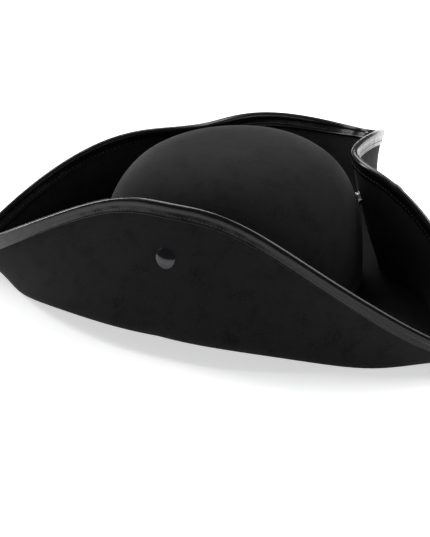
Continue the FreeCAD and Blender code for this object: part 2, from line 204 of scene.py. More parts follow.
# ---------------------------------------------------------------------------------------------
# Brim: an oval of the same felt, pressed flat and then steamed up into three flaps that meet in
# three points. Its inner edge is turned up as a collar inside the crown. Each flap is drawn in
# to the crown by a rivet, which dimples the felt.
# ---------------------------------------------------------------------------------------------
FRONT = -90.0
SIDE_CORNER_ANGLE = 81.5                    # degrees from the front to each side point
SIDE_CORNER = (202.3 * MM, -0.4 * MM)       # reach from the axis, and height, of a side point
REAR_CORNER = (222.8 * MM, 46.1 * MM)
CORNER_ROUNDING = 7.1                       # degrees of edge that round off a point
COLLAR_HEIGHT = 8.0 * MM
COLLAR_GAP = 0.05 * MM
COLLAR_EDGE = 0.6 * MM                      # worn edge at the collar's foot
FLAP_LEAN, CORNER_LEAN, LEAN_POWER = 99.0, 27.0, 6.3
CORNER_FLOOR, FLOOR_POWER = 103.5 * MM, 1.3
FLAP_RUN, CORNER_RUN, RUN_POWER = 95.0 * MM, 49.0 * MM, 4.1
FLAPS = {                                   # height, rivet height and gap, flat floor, powers
    "front": (87.0 * MM, 52.7 * MM, 0.56 * MM, 17.0 * MM, 2.86, 2.58),
    "side": (85.0 * MM, 57.5 * MM, 4.3 * MM, 29.0 * MM, 2.48, 4.13),
}
CORNERS = [FRONT - SIDE_CORNER_ANGLE, FRONT + SIDE_CORNER_ANGLE, 90.0, 270.0 - SIDE_CORNER_ANGLE]
BRIM_STEPS = (190, 135, 135)                # sections in the front, left and right flaps
CROWDING = 0.55                             # how much closer they stand near the points
BRIM_ACROSS = 48
BRIM_WAVE = 0.55 * MM
BRIM_WAVELENGTH = 55 * MM
WAVY_FROM = 30 * MM                         # the brim waves in full above this height
DIMPLE_WIDTH = 9 * MM
DIMPLES = {"front": 0.7 * MM, "left": 1.6 * MM, "right": 1.6 * MM}


def head_radius(angles, inset=0.0):
    """Distance from the axis to the crown's oval base, or to an oval inset in it."""
    length = CROWN_LENGTH - inset
    width = length * CROWN_WIDTH / CROWN_LENGTH
    turns = np.radians(angles)
    return length * width / np.hypot(length * np.cos(turns), width * np.sin(turns))


def weights(share):
    """Weights of the four points that shape a section."""
    rest = 1 - share
    return rest ** 3, 3 * rest ** 2 * share, 3 * rest * share ** 2, share ** 3


def share_at(height, low, top):
    """Share of a flap's middle section at which it reaches a height."""
    shares = np.linspace(0.4, 1, 2001)
    _, _, third, last = weights(shares)
    return float(np.interp(height, third * low + last * top, shares))


def pinned_reach(kind, angle):
    """Reach of a flap's middle edge that leaves its gap to the crown at the rivet."""
    top, rivet, gap, floor, _, _ = FLAPS[kind]
    lean = math.radians(FLAP_LEAN)
    base = head_radius(angle)
    share = share_at(rivet, top - FLAP_RUN * math.sin(lean), top)
    first, second, third, last = weights(share)
    dome_share = (1 - (rivet / CROWN_HEIGHT) ** CROWN_TOP_POWER) ** (1 / CROWN_WALL_POWER)
    target = base * dome_share + gap + FELT / 2
    fixed = first * base + second * (base + floor)
    return (target - fixed + third * FLAP_RUN * math.cos(lean)) / (third + last)


def brim_points(angles, shares):
    """Middle surface of the brim: share 0 at the headline, 1 at the outer edge."""
    turned = (angles - CORNERS[0]) % 360 + CORNERS[0]
    which = np.clip(np.searchsorted(CORNERS, turned, side="right") - 1, 0, 2)
    first, last = np.array(CORNERS)[which], np.array(CORNERS)[which + 1]
    half = (last - first) / 2
    across = (turned - first) / half - 1
    rounding = CORNER_ROUNDING / half
    away = np.hypot(1 - np.abs(across), rounding) - rounding
    close = 1 - away / (np.hypot(1, rounding) - rounding)
    rear = np.where(across < 0, which, which + 1) == 2
    corner_reach = np.where(rear, REAR_CORNER[0], SIDE_CORNER[0])
    corner_height = np.where(rear, REAR_CORNER[1], SIDE_CORNER[1])
    kinds = [FLAPS["front"], FLAPS["side"], FLAPS["side"]]
    top, _, _, floor, reach_power, height_power = (np.array(v)[which] for v in zip(*kinds))
    middles = [pinned_reach("front", FRONT), *[pinned_reach("side", (CORNERS[1] + 90) / 2)] * 2]
    middle = np.array(middles)[which]
    reach = middle + (corner_reach - middle) * close ** reach_power
    height = top + (corner_height - top) * close ** height_power
    lean = np.radians(FLAP_LEAN + (CORNER_LEAN - FLAP_LEAN) * close ** LEAN_POWER)
    floor = floor + (CORNER_FLOOR - floor) * close ** FLOOR_POWER
    run = FLAP_RUN + (CORNER_RUN - FLAP_RUN) * close ** RUN_POWER
    base = head_radius(angles)
    radii = (base, base + floor, reach - run * np.cos(lean), reach)
    heights = (0 * base, 0 * base, height - run * np.sin(lean), height)
    w = weights(shares)
    radius = sum(part * r for part, r in zip(w, radii))
    level = sum(part * h for part, h in zip(w, heights))
    turns = np.radians(angles)
    return np.stack([radius * np.cos(turns), radius * np.sin(turns), level], -1)


def unit(vectors):
    return vectors / np.linalg.norm(vectors, axis=-1, keepdims=True)


def brim_frames(angles, shares):
    """Points of the brim with the directions out along the section and up off the inner face."""
    along = unit(brim_points(angles + 0.05, shares) - brim_points(angles - 0.05, shares))
    start, end = np.maximum(shares - 0.001, 0), np.minimum(shares + 0.001, 1)
    out = brim_points(angles, end) - brim_points(angles, start)
    out = unit(out - along * (out * along).sum(-1, keepdims=True))
    return brim_points(angles, shares), out, np.cross(out, along)


def rivet_seats():
    """Each rivet's place on the flap's middle surface, with its outward direction."""
    seats = {}
    side = (CORNERS[1] + 90) / 2
    for name, kind, angle in (("front", "front", FRONT), ("left", "side", side),
                              ("right", "side", 180 - side)):
        top, rivet = FLAPS[kind][:2]
        share = share_at(rivet, top - FLAP_RUN * math.sin(math.radians(FLAP_LEAN)), top)
        point, _, up = brim_frames(np.array([angle]), np.array([share]))
        seats[name] = (point[0], -up[0])
    return seats


SEATS = rivet_seats()


def pressed(points, ups):
    """The brim as it sits in use: a little wavy, and dimpled in at the rivets."""
    flat = points.reshape(-1, 3)
    up = ups.reshape(-1, 3)
    height = np.clip(flat[:, 2:] / WAVY_FROM, 0, 1)
    moved = flat + (uneven(flat, up, BRIM_WAVE, BRIM_WAVELENGTH) - flat) * height
    for name, (seat, outward) in SEATS.items():
        gap = np.linalg.norm(flat - seat, axis=1)[:, None]
        moved = moved - outward * DIMPLES[name] * np.exp(-(gap / DIMPLE_WIDTH) ** 2)
    return moved.reshape(points.shape)


def section_angles():
    """Angles of the brim's sections, closer together near the three points."""
    angles = []
    for number, (first, last) in enumerate(zip(CORNERS, CORNERS[1:])):
        even = np.arange(BRIM_STEPS[number]) / BRIM_STEPS[number]
        share = even - CROWDING * np.sin(2 * math.pi * even) / (2 * math.pi)
        angles.append(first + share * (last - first))
    return np.concatenate(angles)


ANGLES = section_angles()


def ring_mesh(name, loops, material):
    """A closed ring from loops of points: axis 0 round the hat, axis 1 round the section."""
    count, size, _ = loops.shape
    faces = []
    for i in range(count):
        for k in range(size):
            j, m = (i + 1) % count, (k + 1) % size
            faces.append((i * size + k, j * size + k, j * size + m, i * size + m))
    return solid_mesh(name, loops.reshape(-1, 3), faces, material)


def on_brim(share, off):
    """One closed row of points at a share of the section, off the middle surface."""
    shares = np.full_like(ANGLES, share) if np.isscalar(share) else share
    point, _, up = brim_frames(ANGLES, shares)
    return pressed(point, up) + up * off


def foot(inset, height):
    """One closed row round the head opening."""
    radius, turns = head_radius(ANGLES, inset), np.radians(ANGLES)
    return np.stack([radius * np.cos(turns), radius * np.sin(turns),
                     np.full_like(turns, height)], -1)


shares = np.linspace(0, 1, BRIM_ACROSS + 1)
outer_wall = FELT + COLLAR_GAP
inner_wall = outer_wall + FELT
rows = [on_brim(s, FELT / 2) for s in shares]
rows += [on_brim(1.0, 0.0)]
rows += [on_brim(s, -FELT / 2) for s in shares[::-1]]
rows += [foot(inner_wall - COLLAR_EDGE, -FELT / 2), foot(inner_wall, -FELT / 2 + COLLAR_EDGE)]
rows += [foot(inner_wall, FELT / 2 + COLLAR_HEIGHT), foot(outer_wall, FELT / 2 + COLLAR_HEIGHT)]
rows += [foot(outer_wall, FELT / 2)]
brim = ring_mesh("brim_felt", np.stack(rows, 1), felt)
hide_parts("brim")

# ---------------------------------------------------------------------------------------------
# Headline seam: crown and collar are sewn together just above the brim with a row of plain
# stitches in black polyester thread, pulled slightly into the felt.
# ---------------------------------------------------------------------------------------------
# Polyester thread: spun and dyed black, a little shinier than felt, with a twist too fine to show.
thread, tree, shader = new_material("black_polyester_thread")
TWIST = 0.5 * MM
place = add_node(tree, "ShaderNodeTexCoord")
twist = add_node(tree, "ShaderNodeTexNoise", {"Vector": (place, "Object"), "Scale": 1 / TWIST,
                                              "Detail": 2.0})
tone = add_node(tree, "ShaderNodeValToRGB", {"Fac": (twist, "Fac")})
tone.color_ramp.elements[0].color = srgb("17171a")
tone.color_ramp.elements[1].color = srgb("2c2c30")
for socket, value in (("Roughness", 0.55), ("IOR", 1.53), ("Sheen Weight", 0.15)):
    shader.inputs[socket].default_value = value
tree.links.new(tone.outputs["Color"], shader.inputs["Base Color"])

STITCH_ROUND = 8                            # faces round a stitch
STITCH_LONG = 5


def stitch_tree():
    """Lays stitches along a line of points that carry the direction off the cloth."""
    made = bpy.data.node_groups.new("row_of_stitches", "GeometryNodeTree")
    sockets = made.interface
    sockets.new_socket("Geometry", in_out="INPUT", socket_type="NodeSocketGeometry")
    for name in ("Pitch", "Length", "Width", "Height"):
        sockets.new_socket(name, in_out="INPUT", socket_type="NodeSocketFloat")
    sockets.new_socket("Thread", in_out="INPUT", socket_type="NodeSocketMaterial")
    sockets.new_socket("Geometry", in_out="OUTPUT", socket_type="NodeSocketGeometry")
    given = add_node(made, "NodeGroupInput")
    line = add_node(made, "GeometryNodeMeshToCurve", {"Mesh": (given, "Geometry")})
    spaced = add_node(made, "GeometryNodeResampleCurve",
                      {"Curve": (line, "Curve"), "Length": (given, "Pitch")}, mode="LENGTH")
    tangent = add_node(made, "GeometryNodeInputTangent")
    off = add_node(made, "GeometryNodeInputNamedAttribute", {"Name": "off_cloth"},
                   data_type="FLOAT_VECTOR")
    laid = add_node(made, "FunctionNodeAlignRotationToVector", {"Vector": (tangent, "Tangent")},
                    axis="X")
    raised = add_node(made, "FunctionNodeAlignRotationToVector",
                      {"Rotation": (laid, "Rotation"), "Vector": (off, "Attribute")},
                      axis="Z", pivot_axis="X")
    bead = add_node(made, "GeometryNodeMeshUVSphere", {"Segments": STITCH_ROUND,
                                                       "Rings": STITCH_LONG, "Radius": 0.5})
    lying = add_node(made, "GeometryNodeTransform", {"Geometry": (bead, "Mesh"),
                                                     "Rotation": (0.0, math.pi / 2, 0.0)})
    size = add_node(made, "ShaderNodeCombineXYZ", {"X": (given, "Length"), "Y": (given, "Width"),
                                                   "Z": (given, "Height")})
    sewn = add_node(made, "GeometryNodeInstanceOnPoints",
                    {"Points": (spaced, "Curve"), "Instance": (lying, "Geometry"),
                     "Rotation": (raised, "Rotation"), "Scale": (size, "Vector")})
    real = add_node(made, "GeometryNodeRealizeInstances", {"Geometry": (sewn, "Instances")})
    smooth = add_node(made, "GeometryNodeSetShadeSmooth", {"Geometry": (real, "Geometry")})
    finish = add_node(made, "GeometryNodeSetMaterial", {"Geometry": (smooth, "Geometry"),
                                                        "Material": (given, "Thread")})
    add_node(made, "NodeGroupOutput", {"Geometry": (finish, "Geometry")})
    return made


STITCHES = stitch_tree()


def sew(name, lines, pitch, length, width, height):
    """Sew rows of stitches. A line is its points, their off-cloth directions, and if it closes."""
    points, edges, offs = [], [], []
    for line, off, closed in lines:
        start = len(points)
        points += [tuple(p) for p in line]
        offs += [tuple(o) for o in off]
        edges += [(start + i, start + i + 1) for i in range(len(line) - 1)]
        if closed:
            edges.append((start + len(line) - 1, start))
    mesh = bpy.data.meshes.new(name)
    mesh.from_pydata(points, edges, [])
    mesh.attributes.new("off_cloth", "FLOAT_VECTOR", "POINT")
    mesh.attributes["off_cloth"].data.foreach_set("vector", np.ravel(offs))
    guide = bpy.data.objects.new(name + "_guide", mesh)
    bpy.context.scene.collection.objects.link(guide)
    modifier = guide.modifiers.new("stitches", "NODES")
    modifier.node_group = STITCHES
    values = {"Pitch": pitch, "Length": length, "Width": width, "Height": height, "Thread": thread}
    for item in STITCHES.interface.items_tree:
        if item.in_out == "INPUT" and item.name in values:
            modifier[item.identifier] = values[item.name]
    bpy.context.view_layer.update()
    seen = guide.evaluated_get(bpy.context.evaluated_depsgraph_get())
    plain = bpy.data.meshes.new_from_object(seen)
    plain.name = name
    bpy.data.objects.remove(guide)
    seam = bpy.data.objects.new(name, plain)
    bpy.context.scene.collection.objects.link(seam)
    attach(seam, "root")
    return seam


HEADLINE_RISE = 4.5 * MM
HEADLINE_PITCH, HEADLINE_STITCH = 6.0 * MM, 4.2 * MM
THREAD_WIDTH, THREAD_HEIGHT = 0.6 * MM, 0.5 * MM
TURNS = np.linspace(0, 360, 720, endpoint=False)


def oval(inset, height):
    """Points of an oval concentric with the crown's foot, and their outward directions."""
    radius, turns = head_radius(TURNS, inset), np.radians(TURNS)
    line = np.stack([radius * np.cos(turns), radius * np.sin(turns),
                     np.full_like(turns, height)], -1)
    ahead = np.roll(line, -1, 0) - np.roll(line, 1, 0)
    return line, unit(np.cross(ahead, [0.0, 0.0, 1.0]))


line, off = oval(0.0, HEADLINE_RISE)
headline_seam = sew("headline_seam", [(line, off, True)], HEADLINE_PITCH, HEADLINE_STITCH,
                    THREAD_WIDTH, THREAD_HEIGHT)
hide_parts("headline_stitching")

# ---------------------------------------------------------------------------------------------
# Sweatband: a ribbed black grosgrain ribbon, sewn round inside the headline along its lower edge
# and standing up inside the crown. Its ends are butted at the back under a blank woven label.
# ---------------------------------------------------------------------------------------------
SWEATBAND_THICKNESS = 1.2 * MM
band_low, band_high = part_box("sweatband")
BAND_INSET = CROWN_LENGTH - band_high.y
BAND_INNER = BAND_INSET + SWEATBAND_THICKNESS
RIB = 1.4 * MM                              # grosgrain ribs, drawn twice as coarse as they are
GIRTH = 0.57                                # once round the band
LINT = 0.63 * MM                            # fuzz on the cotton ribs
BAND = 2 * math.pi / 20                     # the wave texture's scale for one band to the unit
HEM = 0.9 * MM                              # rolled upper edge of the ribbon
BAND_SEAM_RISE = 2.0 * MM
BAND_PITCH, BAND_STITCH = 3.4 * MM, 2.5 * MM

# Grosgrain: rayon warp over thick cotton ribs. The ribs run across the ribbon and catch the light.
grosgrain, tree, shader = new_material("black_grosgrain")
place = add_node(tree, "ShaderNodeUVMap", uv_map="UVMap")
ribs = add_node(tree, "ShaderNodeTexWave", {"Vector": (place, "UV"), "Scale": BAND * GIRTH / RIB,
                                            "Distortion": 0.0}, bands_direction="X")
lint = add_node(tree, "ShaderNodeTexNoise", {"Vector": (place, "UV"), "Scale": GIRTH / LINT,
                                             "Detail": 3.0})
tone = add_node(tree, "ShaderNodeValToRGB", {"Fac": (lint, "Fac")})
tone.color_ramp.elements[0].color = srgb("151517")
tone.color_ramp.elements[1].color = srgb("29292c")
ribbed = add_node(tree, "ShaderNodeBump", {"Height": (ribs, "Fac"), "Distance": 0.25 * MM})
for socket, value in (("Roughness", 0.6), ("IOR", 1.5), ("Sheen Weight", 0.25)):
    shader.inputs[socket].default_value = value
tree.links.new(tone.outputs["Color"], shader.inputs["Base Color"])
tree.links.new(ribbed.outputs["Normal"], shader.inputs["Normal"])


def wrap_uv(piece, centre_low, height):
    """Lay a UV map round a piece: U once round the axis, V up its height."""
    mesh = piece.data
    layer = mesh.uv_layers.new(name="UVMap")
    for polygon in mesh.polygons:
        turns = []
        for k in polygon.loop_indices:
            spot = mesh.vertices[mesh.loops[k].vertex_index].co
            turns.append(math.atan2(spot.y, spot.x) / (2 * math.pi) % 1)
        around = [t + 1 if max(turns) - t > 0.5 else t for t in turns]
        for k, turn in zip(polygon.loop_indices, around):
            spot = mesh.vertices[mesh.loops[k].vertex_index].co
            layer.data[k].uv = (turn, (spot.z - centre_low) / height)


top = band_high.z
band_section = (
    (BAND_INSET, band_low.z), (BAND_INSET, top - 2 * HEM), (BAND_INSET - HEM / 3, top - HEM),
    (BAND_INSET, top - HEM / 4), ((BAND_INSET + BAND_INNER) / 2, top), (BAND_INNER, top - HEM / 4),
    (BAND_INNER + HEM / 3, top - HEM), (BAND_INNER, top - 2 * HEM), (BAND_INNER, band_low.z),
)
loops = [oval(inset, height)[0] for inset, height in band_section]
sweatband = ring_mesh("sweatband_ribbon", np.stack(loops, 1), grosgrain)
wrap_uv(sweatband, band_low.z, band_high.z - band_low.z)
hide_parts("sweatband")

line, off = oval(BAND_INNER, band_low.z + BAND_SEAM_RISE)
band_seam = sew("sweatband_seam", [(line, -off, True)], BAND_PITCH, BAND_STITCH, THREAD_WIDTH,
                THREAD_HEIGHT)
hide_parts("sweatband_stitching")

# Woven label: bleached polyester tape with both ends turned under, left blank, sewn at each end.
WEAVE = 1.0 * MM                            # thread spacing, drawn three times as coarse as it is
woven, tree, shader = new_material("woven_label_tape")
place = add_node(tree, "ShaderNodeTexCoord")
warp = add_node(tree, "ShaderNodeTexWave", {"Vector": (place, "Object"), "Scale": BAND / WEAVE},
                bands_direction="X")
weft = add_node(tree, "ShaderNodeTexWave", {"Vector": (place, "Object"), "Scale": BAND / WEAVE},
                bands_direction="Z")
cloth = add_node(tree, "ShaderNodeMath", {0: (warp, "Fac"), 1: (weft, "Fac")}, operation="MULTIPLY")
tone = add_node(tree, "ShaderNodeValToRGB", {"Fac": (cloth, "Value")})
tone.color_ramp.elements[0].color = srgb("c9c7bf")
tone.color_ramp.elements[1].color = srgb("e6e4dc")
threads = add_node(tree, "ShaderNodeBump", {"Height": (cloth, "Value"), "Distance": 0.08 * MM})
for socket, value in (("Roughness", 0.8), ("Sheen Weight", 0.2)):
    shader.inputs[socket].default_value = value
tree.links.new(tone.outputs["Color"], shader.inputs["Base Color"])
tree.links.new(threads.outputs["Normal"], shader.inputs["Normal"])

label_low, label_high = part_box("care_label")
LABEL_THICKNESS = 0.4 * MM
LABEL_LIFT = 0.02 * MM                      # the label's back, off the band
TURNED_SHARE, TURNED_THICKNESS = 0.12, 1.6  # how much of each end is turned under, and its layers
END_SOFTNESS, EDGE_SOFTNESS = 1 / 40, 1 / 25
COLUMNS, ROWS = 40, 14
LABEL_SEAMS = (0.06, 0.94)                  # where the two end seams run, as shares of its length
LABEL_PITCH, LABEL_STITCH = 2.2 * MM, 1.6 * MM


def label_point(across, up, off):
    """A point of the label, which bends with the band and stands off its face."""
    x = label_low.x + (label_high.x - label_low.x) * across
    length = CROWN_LENGTH - BAND_INNER - off
    width = length * CROWN_WIDTH / CROWN_LENGTH
    return (x, length * math.sqrt(1 - (x / width) ** 2),
            label_low.z + (label_high.z - label_low.z) * up)


def label_off(across, up, inner):
    """Thickness at a spot: full in the middle, doubled where an end is turned under."""
    if not inner:
        return LABEL_LIFT
    end, edge = min(across, 1 - across), min(up, 1 - up)
    layers = TURNED_THICKNESS if end < TURNED_SHARE else 1.0
    rounding = min(1.0, end / END_SOFTNESS, edge / EDGE_SOFTNESS)
    return LABEL_LIFT + LABEL_THICKNESS * layers * math.sqrt(max(rounding, 0))


points, faces = [], []
for inner in (False, True):
    for k in range(ROWS + 1):
        for i in range(COLUMNS + 1):
            across, up = i / COLUMNS, k / ROWS
            points.append(label_point(across, up, label_off(across, up, inner)))
page = (COLUMNS + 1) * (ROWS + 1)
for base in (0, page):
    for k in range(ROWS):
        for i in range(COLUMNS):
            a = base + k * (COLUMNS + 1) + i
            faces.append((a, a + 1, a + COLUMNS + 2, a + COLUMNS + 1))
label = solid_mesh("blank_label", points, faces, woven)
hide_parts("care_label")

ends = []
for across in LABEL_SEAMS:
    over = LABEL_LIFT + LABEL_THICKNESS * (TURNED_THICKNESS + 0.1)
    line = [label_point(across, up, over) for up in np.linspace(0.08, 0.92, 12)]
    ends.append((line, [(0.0, -1.0, 0.0)] * len(line), False))
sew("label_seam", ends, LABEL_PITCH, LABEL_STITCH, 0.4 * MM, 0.3 * MM)

# ---------------------------------------------------------------------------------------------
# Brim wire and its joiner: a hoop of drawn spring steel along the edge, its ends held in a brass
# sleeve. Both lie inside the folded binding, so only their finish is set here.
# ---------------------------------------------------------------------------------------------
# Drawn steel: bright metal with fine lengthwise die lines. Brass: cut tube, slightly dulled.
for name, code, rough, node in (("drawn_spring_steel", "b4b5b8", 0.3, "brim_wire"),
                                ("cut_brass_tube", "c9a45c", 0.35, "wire_joiner")):
    metal, tree, shader = new_material(name)
    place = add_node(tree, "ShaderNodeTexCoord")
    lines = add_node(tree, "ShaderNodeTexNoise", {"Vector": (place, "Object"),
                                                  "Scale": 1 / (0.4 * MM), "Detail": 3.0})
    rubbed = add_node(tree, "ShaderNodeMapRange", {"Value": (lines, "Fac"), "To Min": rough - 0.08,
                                                   "To Max": rough + 0.12})
    shader.inputs["Base Color"].default_value = srgb(code)
    shader.inputs["Metallic"].default_value = 1.0
    tree.links.new(rubbed.outputs["Result"], shader.inputs["Roughness"])
    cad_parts[node].data.materials.clear()
    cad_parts[node].data.materials.append(metal)
    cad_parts[node].data.shade_smooth()

# ---------------------------------------------------------------------------------------------
# Binding: a strip of black coated tape, folded over the wire and the felt's edge. Each long edge
# is turned under, which leaves a soft ridge, and a seam runs beside it. The two ends lap on the
# left flap.
# ---------------------------------------------------------------------------------------------
BINDING_WIDTH = 7.5 * MM
TAPE = 0.7 * MM
BEND_INSIDE = FELT / 2 + 0.1 * MM
BEND_OFFSET = 0.9 * MM                      # centre of the fold, out from the felt's edge
RELIEF = (                                  # mm in from the felt's edge, mm over the tape's flat
    (0.0, 0.4), (2.0, -0.1), (6.0, 0.0), (6.9, 0.3), (7.5, -0.3),
)
SEAM_FROM_EDGE = 4.5 * MM                   # the seam lies on the flat of the tape
SEAM_PITCH, SEAM_STITCH = 3.2 * MM, 2.4 * MM
SEAM_WIDTH, SEAM_HEIGHT = 0.55 * MM, 0.45 * MM
PUCKER, PUCKER_LENGTH = 0.22 * MM, 6 * MM
GRAIN, CREASE = 0.8 * MM, 9 * MM
LAP_ANGLE, LAP_HALF = 17.0, 1.1             # where the ends lap, and half the lap, in degrees
LAP_RISE, LAP_SLOPE = 0.55 * MM, 0.25       # how high, and over how many degrees it steps up

# Coated binding tape: cotton tape with a smooth black vinyl face. It is shiny, with long soft
# highlights broken by small creases from sewing it round the curve, and a fine grain in the coat.
coated, tree, shader = new_material("black_coated_tape")
place = add_node(tree, "ShaderNodeTexCoord")
grain = add_node(tree, "ShaderNodeTexNoise", {"Vector": (place, "Object"), "Scale": 1 / GRAIN,
                                              "Detail": 3.0, "Roughness": 0.5})
creases = add_node(tree, "ShaderNodeTexNoise", {"Vector": (place, "Object"), "Scale": 1 / CREASE,
                                                "Detail": 3.0, "Roughness": 0.55})
worn = add_node(tree, "ShaderNodeMapRange", {"Value": (creases, "Fac"), "From Min": 0.3,
                                             "From Max": 0.7, "To Min": 0.16, "To Max": 0.28})
relief = add_node(tree, "ShaderNodeMath", {0: (grain, "Fac"), 1: 0.12, 2: (creases, "Fac")},
                  operation="MULTIPLY_ADD")
surface = add_node(tree, "ShaderNodeBump", {"Height": (relief, "Value"), "Distance": 0.5 * MM,
                                            "Strength": 0.5})
shader.inputs["Base Color"].default_value = srgb("0f0f11")
for socket, value in (("IOR", 1.5), ("Specular IOR Level", 0.34)):
    shader.inputs[socket].default_value = value
tree.links.new(worn.outputs["Result"], shader.inputs["Roughness"])
tree.links.new(surface.outputs["Normal"], shader.inputs["Normal"])


def shares_in(distance):
    """For each section, the share that lies a distance in from the outer edge."""
    steps = np.linspace(1, 0.6, 161)
    line = np.stack([brim_points(ANGLES, np.full_like(ANGLES, s)) for s in steps], 1)
    run = np.cumsum(np.linalg.norm(np.diff(line, axis=1), axis=2), axis=1)
    run = np.concatenate([np.zeros((len(ANGLES), 1)), run], 1)
    return np.array([np.interp(distance, r, steps) for r in run])


def pucker(row, up):
    """A row of the tape, drawn up a little by its stitches."""
    return uneven(row, up, PUCKER, PUCKER_LENGTH)


def lap_rise():
    """Extra thickness where one end of the tape lies on the other."""
    gap = np.abs((ANGLES - LAP_ANGLE + 180) % 360 - 180)
    return (LAP_RISE * np.clip((LAP_HALF - gap) / LAP_SLOPE, 0, 1))[:, None]


LAP = lap_rise()
edge_point, edge_out, edge_up = brim_frames(ANGLES, np.ones_like(ANGLES))
edge_point = pressed(edge_point, edge_up)


def leg_row(distance, off, side):
    """A row on one face of the binding; side is 1 on the inner face and -1 on the outer."""
    point, _, up = brim_frames(ANGLES, shares_in(distance))
    rise = off + (LAP if off > BEND_INSIDE else 0)
    return pucker(pressed(point, up) + up * side * rise, up)


def fold_row(turn, radius):
    """A row round the fold, at a turn in degrees from the tape's middle line."""
    rise = radius + (LAP if radius > BEND_INSIDE else 0)
    sideways = math.sin(math.radians(turn))
    outward = math.cos(math.radians(turn))
    return edge_point + edge_out * (BEND_OFFSET + rise * outward) + edge_up * rise * sideways


def relief(distance):
    """Height of the tape's face over its flat, in soft waves through the places in RELIEF."""
    spot = distance / MM
    for (start, low), (end, high) in zip(RELIEF, RELIEF[1:]):
        if spot <= end:
            share = (1 - math.cos(math.pi * (spot - start) / (end - start))) / 2
            return (low + (high - low) * share) * MM
    return RELIEF[-1][1] * MM


LEG_ROWS = 26
outside = BEND_INSIDE + TAPE
leg = [BINDING_WIDTH * k / LEG_ROWS for k in range(LEG_ROWS, 0, -1)]
rows = [leg_row(d, outside + relief(d), 1) for d in leg]
rows += [fold_row(turn, outside + relief(0)) for turn in range(90, -91, -15)]
rows += [leg_row(d, outside + relief(d), -1) for d in reversed(leg)]
rows += [leg_row(BINDING_WIDTH * s, BEND_INSIDE, -1) for s in (1, 0.6, 0.2)]
rows += [fold_row(turn, BEND_INSIDE) for turn in range(-90, 91, 30)]
rows += [leg_row(BINDING_WIDTH * s, BEND_INSIDE, 1) for s in (0.2, 0.6, 1)]
binding = ring_mesh("edge_binding", np.stack(rows, 1), coated)
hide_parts("brim_binding")

seams = []
for side in (1, -1):
    point, _, up = brim_frames(ANGLES, shares_in(SEAM_FROM_EDGE))
    line = pressed(point, up) + up * side * (outside + relief(SEAM_FROM_EDGE) + LAP)
    seams.append((pucker(line, up), up * side, True))
binding_seam = sew("binding_seam", seams, SEAM_PITCH, SEAM_STITCH, SEAM_WIDTH, SEAM_HEIGHT)
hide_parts("binding_stitching")

# ---------------------------------------------------------------------------------------------
# Rivets: a domed cap on each flap with its post, a flat cap inside the crown, and between flap
# and crown a spun spacer of two flanged eyelets. Caps are stamped steel plated in black nickel.
# ---------------------------------------------------------------------------------------------
# Black nickel: a dark mirror plating, slightly clouded by polishing.
nickel, tree, shader = new_material("black_nickel_plate")
place = add_node(tree, "ShaderNodeTexCoord")
polish = add_node(tree, "ShaderNodeTexNoise", {"Vector": (place, "Object"), "Scale": 1 / (3 * MM),
                                               "Detail": 4.0})
cloud = add_node(tree, "ShaderNodeMapRange", {"Value": (polish, "Fac"), "To Min": 0.1,
                                              "To Max": 0.24})
shader.inputs["Base Color"].default_value = srgb("424245")
shader.inputs["Metallic"].default_value = 1.0
tree.links.new(cloud.outputs["Result"], shader.inputs["Roughness"])

# Spun aluminium: bright, with fine rings left by the tool.
aluminium, tree, shader = new_material("spun_aluminium")
place = add_node(tree, "ShaderNodeTexCoord")
rings = add_node(tree, "ShaderNodeTexNoise", {"Vector": (place, "Object"), "Scale": 1 / (0.6 * MM),
                                              "Detail": 2.0})
cloud = add_node(tree, "ShaderNodeMapRange", {"Value": (rings, "Fac"), "To Min": 0.2,
                                              "To Max": 0.35})
shader.inputs["Base Color"].default_value = srgb("e8e9ea")
shader.inputs["Metallic"].default_value = 1.0
tree.links.new(cloud.outputs["Result"], shader.inputs["Roughness"])

LATHE_STEPS = 64
CAP_RADIUS, CAP_RISE, CAP_SEAT = 7.5 * MM, 3.2 * MM, 0.4 * MM
POST_RADIUS = 1.6 * MM
LIP = 0.7 * MM                              # rolled rim of a cap
BACK_RADIUS, BACK_DEPTH = 5.0 * MM, 1.8 * MM
POST_PAST_BACK = 1.3 * MM                   # how far the post runs into the inner cap
SPACER_RADIUS, WAIST_RADIUS, FLANGE = 5.4 * MM, 4.3 * MM, 0.35 * MM
FIT = 0.1 * MM                              # how far the spacer beds in, and its play on the post


def turned_piece(name, profile, centre, axis, material):
    """Turn a closed profile of (radius, distance along the axis) about a rivet's axis."""
    side = unit(np.cross(axis, [0.0, 0.0, 1.0]))
    other = np.cross(axis, side)
    points, faces = [], []
    for i in range(LATHE_STEPS):
        turn = 2 * math.pi * i / LATHE_STEPS
        spoke = side * math.cos(turn) + other * math.sin(turn)
        points += [centre + spoke * radius + axis * along for radius, along in profile]
    size = len(profile)
    for i in range(LATHE_STEPS):
        j = (i + 1) % LATHE_STEPS
        for k in range(size - 1):
            faces.append((i * size + k, j * size + k, j * size + k + 1, i * size + k + 1))
    return solid_mesh(name, points, faces, material)


def cap_profile(tip):
    """A dome with a rolled rim on a post that ends at tip."""
    base = FELT / 2 - CAP_SEAT
    rise = CAP_RISE - LIP
    ball = (CAP_RADIUS ** 2 + rise ** 2) / (2 * rise)
    profile = [(1e-9, base + CAP_RISE)]
    for k in range(1, 15):
        radius = (CAP_RADIUS - 0.3 * MM) * k / 14
        profile.append((radius, base + CAP_RISE - ball + math.sqrt(ball ** 2 - radius ** 2)))
    profile += [(CAP_RADIUS - 0.05 * MM, base + LIP), (CAP_RADIUS, base + LIP / 2),
                (CAP_RADIUS - 0.15 * MM, base + 0.05 * MM), (CAP_RADIUS - 0.5 * MM, base)]
    profile += [(POST_RADIUS, base), (POST_RADIUS, tip + 0.2 * MM), (POST_RADIUS - 0.2 * MM, tip),
                (1e-9, tip)]
    return profile


